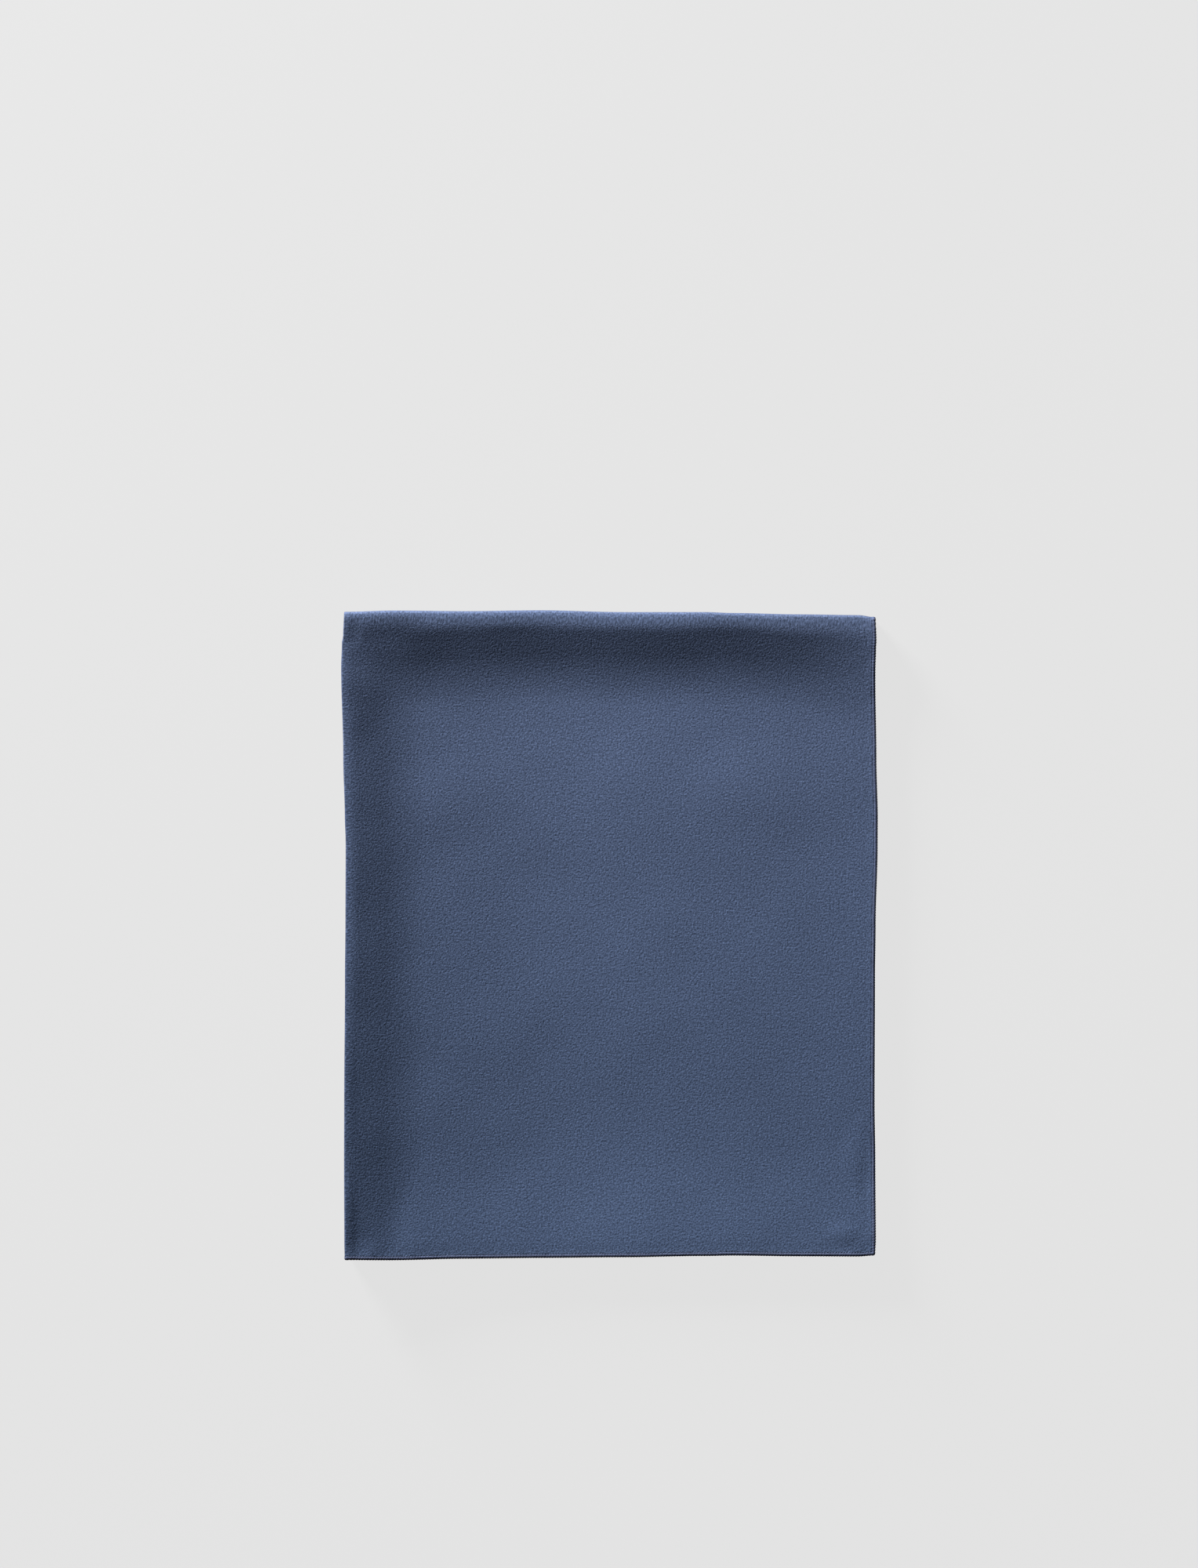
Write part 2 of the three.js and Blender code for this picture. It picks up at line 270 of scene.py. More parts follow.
# The picture's middle lies this far right of and above the scarf's middle, and lamp and camera
# are set from the height of the cloth's face
PICTURE_OFFSET = (-0.0071, 0.0988)
CLOTH_LEVEL = 0.011

# Width of the camera's sensor in millimetres, and side of the floor in metres
SENSOR = 36.0
FLOOR_SIDE = 16.0


def smooth(share):
    """A share from 0 to 1, eased at both ends."""
    share = np.clip(share, 0.0, 1.0)
    return share * share * (3 - 2 * share)


def lerp(first, second, share):
    """The value that lies a share of the way from the first to the second."""
    return first + (second - first) * share


def eased(table, place_column, places, column):
    """A column's value at places between a table's rows, eased from row to row."""
    rows = np.asarray(table[place_column], float)
    values = np.asarray(table[column], float)
    places = np.clip(places, rows[0], rows[-1])
    after = np.clip(np.searchsorted(rows, places, side="left"), 1, len(rows) - 1)
    share = (places - rows[after - 1]) / (rows[after] - rows[after - 1])
    return lerp(values[after - 1], values[after], smooth(share))


def ramp(distance, start, stop):
    """How far a slope has fallen that grows from nothing to full between two distances."""
    inside = np.clip(distance - start, 0, stop - start)
    return inside**2 / (2 * (stop - start)) + np.clip(distance - stop, 0, None)


def roll_lift(roll, distance):
    """The share by which a border stands up at a distance in from its edge."""
    rise = roll["lift"] - roll["edge_loss"] * np.clip(1 - distance / roll["ridge"], 0, 1) ** 3
    steepening = ramp(distance, roll["ridge"], roll["steep"])
    fallen = steepening - ramp(distance, roll["ease"], roll["foot"])
    whole = (roll["ease"] + roll["foot"] - roll["ridge"] - roll["steep"]) / 2
    return np.where(distance < roll["ridge"], rise, roll["lift"] * (1 - fallen / whole))


def border_lift(border, distance, from_left, from_top):
    """The share by which a border stands up at a place, with its easing at the corners."""
    spread = distance[border["side"]]
    kept = 1.0
    for end in BORDER_ENDS:
        if end["of"] == border["name"]:
            along = from_left if border["side"] == "top" else from_top
            share = smooth((along - end["from"]) / end["over"])
            spread = spread / (1 + end["widens"] * share)
            kept = kept * (1 - end["loses"] * share)
    return kept * np.clip(roll_lift(border, spread), 0, None)


def swell_lift(swell, from_left, from_top):
    """The share by which a swell or hollow changes the stack's height."""
    across = (from_left - swell["from_left"]) / swell["across"]
    along = (from_top - swell["from_top"]) / swell["along"]
    return swell["lift"] * (1 - smooth(np.hypot(across, along)))


def puff(from_left, from_top):
    """How many times its flat height the stack has at a place in its outline."""
    distance = {
        "top": from_top,
        "left": from_left,
        "bottom": FOLDED_LENGTH - from_top,
        "right": FOLDED_WIDTH - from_left,
    }
    height = 1 + np.cbrt(
        sum(border_lift(roll, distance, from_left, from_top) ** 3 for roll in ROLLS)
    )
    for rim in RIMS + LIPS:
        height = height + border_lift(rim, distance, from_left, from_top)
    for swell in SWELLS + DENTS:
        height = height + swell_lift(swell, from_left, from_top)
    return height


def drawn_out(distance, shoulder):
    """Distances in from an edge, with those near it drawn closer to the edge."""
    near = np.clip(distance / shoulder["within"], 0, 1)
    return np.where(near < 1, shoulder["within"] * near ** shoulder["power"], distance)


def settle(x, y, z):
    """Moves points of the neat flat stack to where they lie in the settled scarf."""
    from_top = drawn_out(FOLDED_LENGTH - y, SHOULDERS["top"])
    x = drawn_out(x, SHOULDERS["left"])
    y = FOLDED_LENGTH - from_top
    left = eased(SIDE_EDGES, "from_top", from_top, "left")
    right = eased(SIDE_EDGES, "from_top", from_top, "right")
    top = eased(END_EDGES, "from_left", x, "top")
    bottom = eased(END_EDGES, "from_left", x, "bottom")
    return np.stack(
        [
            x + lerp(left, -right, x / FOLDED_WIDTH),
            y + lerp(bottom, -top, y / FOLDED_LENGTH),
            z * puff(x, from_top),
        ],
        axis=-1,
    )


def run_height(run):
    """Height of the middle of a pair of leaves above the surface, counted from the lowest run."""
    return SOLID_WALL / 2 + PLY_PITCH * (2 * run + 0.5)


def crowded(count, crowding):
    """Shares from 0 to 1 of a count of points, which crowd towards both ends."""
    share = np.linspace(0, 1, count)
    return share - crowding * np.sin(2 * np.pi * share) / (2 * np.pi)


def straight_run(run, start, stop, first_turn, steps, crowding):
    """Stations of a straight run: y, z, the way off the outer leaf (y, z), and the turn."""
    share = crowded(steps + 1, crowding)
    y = lerp(start, stop, share)
    return np.stack(
        [
            y,
            np.full_like(y, run_height(run)),
            np.zeros_like(y),
            np.full_like(y, np.sign(stop - start)),
            first_turn + share,
        ],
        axis=1,
    )


def half_turn(from_run, to_run, start, reach, steps, turn):
    """Stations of a half turn from one run to another, without the two that the runs have."""
    middle = (run_height(from_run) + run_height(to_run)) / 2
    rise = run_height(from_run) - middle
    angle = np.pi * np.arange(1, steps) / steps
    off = np.stack([rise * np.sin(angle), reach * np.cos(angle)])
    off = off / np.hypot(*off)
    return np.stack(
        [
            start + reach * np.sin(angle),
            middle + rise * np.cos(angle),
            off[0],
            off[1],
            np.full_like(angle, turn),
        ],
        axis=1,
    )


def folded_length(inset, steps):
    """Stations of the folded length from its outer end to its inner end."""
    top, lowest, third, inner = steps["runs"]
    roll, fold = steps["turns"]
    crowding = steps["crowding"]
    return np.concatenate(
        [
            straight_run(3, inset, ROLL_START, 0, top, crowding),
            half_turn(3, 0, ROLL_START, ROLL_REACH, roll, 1),
            straight_run(0, ROLL_START, BOTTOM_FOLD_START, 1, lowest, crowding),
            half_turn(0, 1, BOTTOM_FOLD_START, -PLY_PITCH, fold, 2),
            straight_run(1, BOTTOM_FOLD_START, INNER_FOLD_START, 2, third, crowding),
            half_turn(1, 2, INNER_FOLD_START, PLY_PITCH, fold, 3),
            straight_run(2, INNER_FOLD_START, INNER_END_IN + inset, 3, inner, crowding),
        ]
    )


def inset_at(stations, column):
    """How far in the crease or a leaf's edge lies at each station."""
    turns = np.arange(len(TURNS[column]))
    return np.interp(stations[:, 4], turns, TURNS[column])


def across_fold(stations, edge_inset, steps):
    """Across the doubled width at each station: x, and the offset from the pair's middle."""
    outer_steps, crease_steps, inner_steps = steps["across"]
    crease = (inset_at(stations, "crease") + PAIR_HALF)[:, None]
    outer_edge = FOLDED_WIDTH - inset_at(stations, "outer_leaf")[:, None] - edge_inset
    inner_edge = FOLDED_WIDTH - inset_at(stations, "inner_leaf")[:, None] - edge_inset

    def leaf_share(count):
        held = 1 - CREASE_HOLD / FOLDED_WIDTH
        return np.append(crowded(count, steps["crowding"])[:-1], [held, 1.0])[None, :]

    angle = np.pi * np.arange(1, crease_steps) / crease_steps
    x = np.concatenate(
        [
            lerp(outer_edge, crease, leaf_share(outer_steps)),
            crease - CREASE_RADIUS * np.sin(angle)[None, :],
            lerp(inner_edge, crease, leaf_share(inner_steps))[:, ::-1],
        ],
        axis=1,
    )
    offset = np.concatenate(
        [
            np.full(outer_steps + 1, CREASE_RADIUS),
            CREASE_RADIUS * np.cos(angle),
            np.full(inner_steps + 1, -CREASE_RADIUS),
        ]
    )
    return x, np.broadcast_to(offset, x.shape)


def place(stations, x, offset):
    """Neat places across the fold: x, y and z of each station's points."""
    y = stations[:, 0, None] + offset * stations[:, 2, None]
    z = stations[:, 1, None] + offset * stations[:, 3, None]
    return x, y, z


def path_length(*columns):
    """How far along its row each point lies."""
    steps = np.sqrt(sum(np.diff(column) ** 2 for column in columns))
    return np.concatenate([np.zeros_like(steps[..., :1]), np.cumsum(steps, axis=-1)], axis=-1)


def slack(along, across, edge_distance, looseness, ripple):
    """How far the cloth stands off its neat place: slack of the plies, and ripples at an edge."""
    waves = zip(SLACK_WAVES["along"], SLACK_WAVES["across"], SLACK_WAVES["start"])
    lift = sum(
        np.sin(2 * np.pi * along / long + start) * np.sin(2 * np.pi * across / wide + 2 * start)
        for long, wide, start in waves
    )
    draw = sum(
        np.sin(2 * np.pi * (along + across) / long + start)
        for long, start in zip(RIPPLE_WAVES["length"], RIPPLE_WAVES["start"])
    )
    near = np.exp(-np.clip(edge_distance, 0, None) / RIPPLE_REACH)
    return (
        looseness * lift / len(SLACK_WAVES["start"])
        + ripple * near * draw / len(RIPPLE_WAVES["start"])
    )


def scarf_surface(sizes, inset, steps):
    """The settled middle of the cloth as a grid of points, and where each lies on the flat sheet:
    how far along it and across it."""
    stations = folded_length(inset, steps)
    x, offset = across_fold(stations, inset, steps)
    x, y, z = place(stations, x, offset)
    along = (inset + path_length(stations[:, 0], stations[:, 1]))[:, None]
    across = inset + path_length(x, offset)
    along = np.broadcast_to(along, across.shape)
    whole_along = along[-1, 0] + inset
    whole_across = across[:, -1:] + inset
    edge_distance = np.minimum(
        np.minimum(across, whole_across - across), np.minimum(along, whole_along - along)
    )
    stand = slack(along, across, edge_distance, sizes.looseness / MM, sizes.ripple / MM)
    return settle(x, y, z + stand), along, across


def unit(vectors):
    """Vectors of length one."""
    return vectors / np.linalg.norm(vectors, axis=-1, keepdims=True)


def surface_normals(points):
    """Directions off a grid of points, on the side of the cloth's inner face."""
    along = np.gradient(points, axis=0)
    across = np.gradient(points, axis=1)
    return unit(np.cross(across, along))


def outline_centre():
    """The middle of the solid's outline, which is the origin of the part."""
    stations = folded_length(0, STEPS["outline"])
    points = settle(*place(stations, *across_fold(stations, 0, STEPS["outline"])))
    off = surface_normals(points) * SOLID_WALL / 2
    both = np.concatenate([points - off, points + off]).reshape(-1, 3)
    middle = (both.min(axis=0) + both.max(axis=0)) / 2
    return np.array([middle[0], middle[1], 0.0])


CENTRE = outline_centre()


def to_frame(points):
    """Points in millimetres from the stack's corner, as metres from the part's origin."""
    return (points - CENTRE) * MM


def new_piece(name, points, faces, material, uv=None, edge_shade=None):
    """A mesh object at the origin, smooth, with its places on the flat sheet as its UV map and the
    painted shade at its outer turns as an attribute."""
    mesh = bpy.data.meshes.new(name)
    mesh.from_pydata(points.tolist(), [], faces)
    mesh.shade_smooth()
    if uv is not None:
        layer = mesh.uv_layers.new(name=UV_NAME)
        corners = np.zeros(len(mesh.loops), np.int32)
        mesh.loops.foreach_get("vertex_index", corners)
        layer.data.foreach_set("uv", uv[corners].astype(np.float32).ravel())
    if edge_shade is not None:
        layer = mesh.attributes.new(EDGE_SHADE_NAME, "FLOAT", "POINT")
        layer.data.foreach_set("value", edge_shade.astype(np.float32))
    mesh.materials.append(material)
    piece = bpy.data.objects.new(name, mesh)
    bpy.context.scene.collection.objects.link(piece)
    return piece


def grid_faces(rows, columns, start, flip):
    """Quads of a grid of points, numbered row by row."""
    corner = start + np.arange(rows - 1)[:, None] * columns + np.arange(columns - 1)[None, :]
    quads = np.stack([corner, corner + 1, corner + columns + 1, corner + columns], axis=-1)
    quads = quads.reshape(-1, 4)
    return quads[:, ::-1] if flip else quads


def border(rows, columns):
    """The numbers of a grid's border points, once round."""
    top = np.arange(columns)
    right = columns - 1 + columns * np.arange(1, rows)
    bottom = columns * (rows - 1) + np.arange(columns - 2, -1, -1)
    left = columns * np.arange(rows - 2, 0, -1)
    return np.concatenate([top, right, bottom, left])


def closed_sheet(points, normals, wall):
    """Both faces of a sheet and the strip between them: points and quads."""
    rows, columns = points.shape[:2]
    count = rows * columns
    off = normals * wall / 2
    both = np.concatenate([(points + off).reshape(-1, 3), (points - off).reshape(-1, 3)])
    ring = border(rows, columns)
    following = np.roll(ring, -1)
    strip = np.stack([ring, ring + count, following + count, following], axis=-1)
    faces = np.concatenate(
        [grid_faces(rows, columns, 0, False), grid_faces(rows, columns, count, True), strip]
    )
    return both, faces.tolist()


def rounded_line(line, half):
    """A hem's line with its ends carried on to the corners, where the hem rounds off: the line's
    columns, and the share of its size that the hem has at each place."""
    centres, inward, off, along = line
    angle = np.radians(HEM_END_ANGLES)
    reach, left = half * np.sin(angle), np.cos(angle)
    first = centres[0] + unit(centres[0] - centres[1]) * reach[::-1, None]
    last = centres[-1] + unit(centres[-1] - centres[-2]) * reach[:, None]
    count = len(angle)
    return (
        np.concatenate([first, centres, last]),
        np.concatenate([[inward[0]] * count, inward, [inward[-1]] * count]),
        np.concatenate([[off[0]] * count, off, [off[-1]] * count]),
        np.concatenate([along[0] - reach[::-1], along, along[-1] + reach]),
        np.concatenate([left[::-1], np.ones(len(centres)), left]),
    )


def tube(line, width, height, pucker, pitch, side_edge_shade):
    """A closed rolled hem round a line of centres, drawn in at each stitch: points, faces, UV, and
    how much painted shade darkens each point, most at its outer turn."""
    centres, inward, off, along, taper = rounded_line(line, width / 2)
    sides, count = len(side_edge_shade), len(centres)
    angle = 2 * np.pi * np.arange(sides) / sides
    swell = taper * (1 + pucker * np.cos(2 * np.pi * along / pitch))
    reach = (width / 2 * swell)[:, None, None] * np.cos(angle)[None, :, None]
    rise = (height / 2 * swell)[:, None, None] * np.sin(angle)[None, :, None]
    rings = centres[:, None, :] - inward[:, None, :] * reach + off[:, None, :] * rise
    points = np.concatenate([rings.reshape(-1, 3), centres[:1], centres[-1:]])
    side = np.arange(sides)
    after = (side + 1) % sides
    row = np.arange(count - 1)[:, None] * sides
    quads = np.stack([row + side, row + after, row + sides + after, row + sides + side], -1)
    first, last = count * sides, count * sides + 1
    end = (count - 1) * sides
    pairs = list(zip(side.tolist(), after.tolist()))
    caps = [[first, b, a] for a, b in pairs] + [[last, end + a, end + b] for a, b in pairs]
    faces = quads.reshape(-1, 4).tolist() + caps
    if np.dot(np.cross(inward[0], off[0]), centres[1] - centres[0]) > 0:
        faces = [face[::-1] for face in faces]
    around = np.minimum(angle, 2 * np.pi - angle) * width / 2
    uv = np.stack(
        [
            np.append(np.tile(around, count), [0, 0]),
            np.concatenate([np.repeat(along, sides), along[:1], along[-1:]]),
        ],
        axis=-1,
    )
    return points, faces, uv * MM, np.append(np.tile(side_edge_shade, count), [0, 0])


def hem_line(sizes, edge):
    """Along one open edge: centres, ways in and off the cloth, and distances along."""
    on_side = edge.endswith("leaf")
    steps = STEPS["side hem" if on_side else "end hem"]
    grid, along, distance = scarf_surface(sizes, sizes.hem_width / MM / 2, steps)
    off = surface_normals(grid)
    if on_side:
        grid, off, distance = grid.swapaxes(0, 1), off.swapaxes(0, 1), along.T
    row, beside = (0, 1) if edge.startswith("outer") else (-1, -2)
    centres, off = grid[row], off[row]
    inward = unit(grid[beside] - centres)
    off = unit(off - inward * (off * inward).sum(axis=-1, keepdims=True))
    return centres, inward, off, distance[row]


class NodeWriter:
    """Adds nodes to a tree and links them."""

    def __init__(self, tree):
        self.tree = tree

    def add(self, kind, settings=None, **inputs):
        node = self.tree.nodes.new(kind)
        for name, value in (settings or {}).items():
            setattr(node, name, value)
        for name, value in inputs.items():
            self.feed(node, name.replace("_", " "), value)
        return node

    def feed(self, node, name, value):
        socket = node.inputs[name]
        if isinstance(value, bpy.types.NodeSocket):
            self.tree.links.new(value, socket)
        else:
            socket.default_value = value

    def math(self, operation, first, second=0.0, clamp=False):
        node = self.add("ShaderNodeMath", {"operation": operation, "use_clamp": clamp})
        self.feed(node, 0, first)
        self.feed(node, 1, second)
        return node.outputs[0]

    def mix(self, share, first, second, blend="MIX"):
        """A mix of two colours. A Mix node's colour sockets are found by their numbers, because
        its other kinds of socket have the same names."""
        node = self.add("ShaderNodeMix", {"data_type": "RGBA", "blend_type": blend})
        self.feed(node, 0, share)
        self.feed(node, 6, first)
        self.feed(node, 7, second)
        return node.outputs[2]

    def spread(self, value, low, high):
        """The share of the way from low to high at which a value lies."""
        node = self.add(
            "ShaderNodeMapRange", {"clamp": True}, Value=value, From_Min=low, From_Max=high
        )
        return node.outputs[0]


def crepe_grain_group():
    """Shader group: the pebbled grain of crepe, its fine threads and its faint clouding."""
    group = bpy.data.node_groups.new("Crepe grain", "ShaderNodeTree")
    face = group.interface
    face.new_socket("Sheet place", in_out="INPUT", socket_type="NodeSocketVector")
    for name in ("Pebble size", "Thread size", "Cloud size"):
        face.new_socket(name, in_out="INPUT", socket_type="NodeSocketFloat")
    for name in ("Height", "Fleck", "Cloud"):
        face.new_socket(name, in_out="OUTPUT", socket_type="NodeSocketFloat")
    write = NodeWriter(group)
    inputs = write.add("NodeGroupInput").outputs
    outputs = write.add("NodeGroupOutput")

    def texture(kind, settings, size, count, **values):
        place_in_grain = write.add(
            "ShaderNodeVectorMath",
            {"operation": "SCALE"},
            Vector=inputs["Sheet place"],
            Scale=write.math("DIVIDE", count, inputs[size]),
        )
        return write.add(
            kind, settings, Vector=place_in_grain.outputs[0], Scale=1.0, **values
        ).outputs[0]

    def noise(size, values):
        return texture("ShaderNodeTexNoise", {"noise_dimensions": "3D"}, size, 1.0, **values)

    cells = texture(
        "ShaderNodeTexVoronoi",
        {"voronoi_dimensions": "2D", "feature": "SMOOTH_F1"},
        "Pebble size",
        CELLS_PER_PEBBLE,
        Smoothness=CELL_SMOOTHNESS,
    )
    thread = noise("Thread size", THREAD_NOISE)
    pebbles = write.math(
        "ADD",
        write.math("MULTIPLY", noise("Pebble size", PEBBLE_NOISE), PEBBLE_SHARE),
        write.math("MULTIPLY", write.math("SUBTRACT", 1.0, cells), CELL_SHARE),
    )
    height = write.math("ADD", pebbles, write.math("MULTIPLY", thread, THREAD_SHARE))
    write.feed(outputs, "Height", height)
    write.feed(outputs, "Fleck", thread)
    write.feed(outputs, "Cloud", noise("Cloud size", CLOUD_NOISE))
    return group


def shades(colour, share):
    """A colour's darker and lighter shade, with alpha."""
    return [(*(part * (1 + change) for part in colour), 1.0) for change in (-share, share)]


def drift_tint(write, place_on_sheet, finish):
    """The cloth's slight change of hue from its outer end to the rolled fold."""
    along = write.add("ShaderNodeSeparateXYZ", Vector=place_on_sheet).outputs["Y"]
    share = write.spread(along, 0.0, FOLDED_LENGTH * MM)
    return write.mix(share, (*finish.end_tint, 1.0), (*finish.fold_tint, 1.0))


def new_material(name):
    """A material with one Principled shader: the material, its tree's writer and the shader."""
    material = bpy.data.materials.new(name)
    material.use_nodes = True
    material.node_tree.nodes.clear()
    write = NodeWriter(material.node_tree)
    shader = write.add("ShaderNodeBsdfPrincipled")
    write.add("ShaderNodeOutputMaterial", Surface=shader.outputs[0])
    return material, write, shader


def cloth_material(name, finish, colour, grain_size, drifts):
    """A crepe cloth material: grain, clouding and bump from the sheet's own places, and painted
    shade where the cloth turns over.
    """
    material, write, shader = new_material(name)
    place_on_sheet = write.add("ShaderNodeUVMap", {"uv_map": UV_NAME}).outputs[0]
    grain = write.add(
        "ShaderNodeGroup",
        {"node_tree": bpy.data.node_groups.get("Crepe grain") or crepe_grain_group()},
        Sheet_place=place_on_sheet,
        Pebble_size=finish.pebble_size * grain_size,
        Thread_size=finish.thread_size,
        Cloud_size=finish.cloud_size,
    ).outputs
    fleck = write.spread(grain["Fleck"], *NOISE_RANGE)
    grained = write.mix(fleck, *shades(colour, finish.grain_contrast))
    cloud = write.spread(grain["Cloud"], *NOISE_RANGE)
    clouds = write.mix(cloud, *shades((1.0, 1.0, 1.0), finish.clouding))
    base = write.mix(1.0, grained, clouds, "MULTIPLY")
    if drifts:
        base = write.mix(1.0, base, drift_tint(write, place_on_sheet, finish), "MULTIPLY")
    edge_shade = write.add("ShaderNodeAttribute", {"attribute_name": EDGE_SHADE_NAME}).outputs["Fac"]
    smoother = write.math("MULTIPLY", fleck, -FLECK_GLOSS)
    bump = write.add("ShaderNodeBump", Strength=1.0, Height=grain["Height"])
    write.feed(bump, "Distance", finish.pebble_depth * grain_size)
    # Painted shade: the base colour is darkened towards the edge shade colour where the cloth turns
    # over
    write.feed(shader, "Base Color", write.mix(edge_shade, base, (*finish.edge_shade_colour, 1.0)))
    write.feed(shader, "Roughness", write.math("ADD", smoother, finish.roughness, clamp=True))
    write.feed(shader, "Normal", bump.outputs[0])
    write.feed(shader, "Specular IOR Level", CREPE_SPECULAR)
    return material


def thread_material(finish):
    """The sewing thread's material: a fine twist across each stitch, by object place."""
    material, write, shader = new_material("Hem thread")
    spot = write.add("ShaderNodeTexCoord").outputs["Object"]
    twist = write.add(
        "ShaderNodeTexNoise", Vector=spot, Scale=TWIST_SCALE, Detail=1.0, Roughness=0.5
    ).outputs[0]
    bump = write.add("ShaderNodeBump", Strength=TWIST_STRENGTH, Distance=TWIST_DEPTH, Height=twist)
    write.feed(
        shader, "Base Color", write.mix(twist, *shades(finish.thread_colour, TWIST_CONTRAST))
    )
    write.feed(shader, "Normal", bump.outputs[0])
    write.feed(shader, "Roughness", THREAD_ROUGHNESS)
    return material


def stitch_tree():
    """Geometry nodes: a short stitch at each step along the hem lines."""
    tree = bpy.data.node_groups.new("Hem stitches", "GeometryNodeTree")
    tree.is_modifier = True
    face = tree.interface
    face.new_socket("Hem lines", in_out="INPUT", socket_type="NodeSocketGeometry")
    for name in ("Stitch pitch", "Stitch length", "Stitch width", "Unevenness"):
        face.new_socket(name, in_out="INPUT", socket_type="NodeSocketFloat")
    face.new_socket("Seed", in_out="INPUT", socket_type="NodeSocketInt")
    face.new_socket("Thread", in_out="INPUT", socket_type="NodeSocketMaterial")
    face.new_socket("Stitches", in_out="OUTPUT", socket_type="NodeSocketGeometry")
    write = NodeWriter(tree)
    inputs = write.add("NodeGroupInput").outputs
    curve = write.add("GeometryNodeMeshToCurve", Mesh=inputs["Hem lines"])
    spaced = write.add(
        "GeometryNodeResampleCurve",
        {"mode": "LENGTH"},
        Curve=curve.outputs[0],
        Length=inputs["Stitch pitch"],
    )
    ball = write.add(
        "GeometryNodeMeshUVSphere", Segments=STITCH_SEGMENTS, Rings=STITCH_RINGS, Radius=0.5
    )
    width = inputs["Stitch width"]
    size = write.add("ShaderNodeCombineXYZ", X=inputs["Stitch length"], Y=width, Z=width)
    stitch = write.add("GeometryNodeTransform", Geometry=ball.outputs[0], Scale=size.outputs[0])
    tangent = write.add("GeometryNodeInputTangent")
    along = write.add(
        "FunctionNodeAlignRotationToVector", {"axis": "X"}, Vector=tangent.outputs[0]
    )
    facing = write.add(
        "GeometryNodeInputNamedAttribute", {"data_type": "FLOAT_VECTOR"}, Name=FACING_NAME
    )
    upright = write.add(
        "FunctionNodeAlignRotationToVector",
        {"axis": "Z", "pivot_axis": "X"},
        Rotation=along.outputs[0],
        Vector=facing.outputs[0],
    )
    uneven = write.add("FunctionNodeRandomValue", {"data_type": "FLOAT"}, Seed=inputs["Seed"])
    low, high = (s for s in uneven.inputs if s.enabled and s.name in ("Min", "Max"))
    tree.links.new(write.math("SUBTRACT", 1.0, inputs["Unevenness"]), low)
    tree.links.new(write.math("ADD", 1.0, inputs["Unevenness"]), high)
    set_out = write.add(
        "GeometryNodeInstanceOnPoints",
        Points=spaced.outputs[0],
        Instance=stitch.outputs[0],
        Rotation=upright.outputs[0],
        Scale=next(s for s in uneven.outputs if s.enabled),
    )
    real = write.add("GeometryNodeRealizeInstances", Geometry=set_out.outputs[0])
    smooth_shade = write.add("GeometryNodeSetShadeSmooth", Geometry=real.outputs[0])
    finish = write.add(
        "GeometryNodeSetMaterial", Geometry=smooth_shade.outputs[0], Material=inputs["Thread"]
    )
    write.add("NodeGroupOutput", Stitches=finish.outputs[0])
    return tree


def set_inputs(modifier, values):
    """Sets a geometry nodes modifier's inputs by the names that its tree gives them."""
    named = {
        item.name: item.identifier
        for item in modifier.node_group.interface.items_tree
        if item.item_type == "SOCKET" and item.in_out == "INPUT"
    }
    for name, value in values.items():
        modifier[named[name]] = value


def half_wave(steps):
    """Values that swell from nothing to one and back, at the steps between."""
    return np.sin(np.pi * np.arange(1, steps) / steps)


def made_plain(piece):
    """Makes the result of a piece's modifiers its mesh."""
    graph = bpy.context.evaluated_depsgraph_get()
    graph.update()
    mesh = bpy.data.meshes.new_from_object(piece.evaluated_get(graph))
    piece.modifiers.clear()
    piece.data = mesh


class ScarfSizes(PropertyGroup):
    """Sizes of the cloth, its hems and its stitches."""

    cloth_thickness: FloatProperty(
        name="Cloth thickness", description="Thickness of the crepe", default=0.0006, unit="LENGTH"
    )
    looseness: FloatProperty(
        name="Looseness",
        description="How far the plies stand off their neat places",
        default=0.00016,
        unit="LENGTH",
    )
    ripple: FloatProperty(
        name="Edge ripple",
        description="Height of the ripples by the rolled hems",
        default=0.00008,
        unit="LENGTH",
    )
    hem_width: FloatProperty(
        name="Hem width", description="Width of the rolled hem", default=0.0026, unit="LENGTH"
    )
    hem_height: FloatProperty(
        name="Hem height", description="Height of the rolled hem", default=0.0010, unit="LENGTH"
    )
    pucker: FloatProperty(
        name="Pucker",
        description="Share by which the hem swells between two stitches",
        default=0.09,
        subtype="FACTOR",
    )
    stitch_pitch: FloatProperty(
        name="Stitch pitch", description="From stitch to stitch", default=0.0018, unit="LENGTH"
    )
    stitch_length: FloatProperty(
        name="Stitch length", description="Length of a stitch", default=0.00095, unit="LENGTH"
    )
    stitch_width: FloatProperty(
        name="Stitch width", description="Width of a stitch", default=0.0002, unit="LENGTH"
    )
    stitch_unevenness: FloatProperty(
        name="Stitch unevenness",
        description="Share by which stitches differ in size",
        default=0.2,
        subtype="FACTOR",
    )
    stitch_seed: IntProperty(
        name="Stitch seed", description="Seed of the stitches' unevenness", default=7
    )


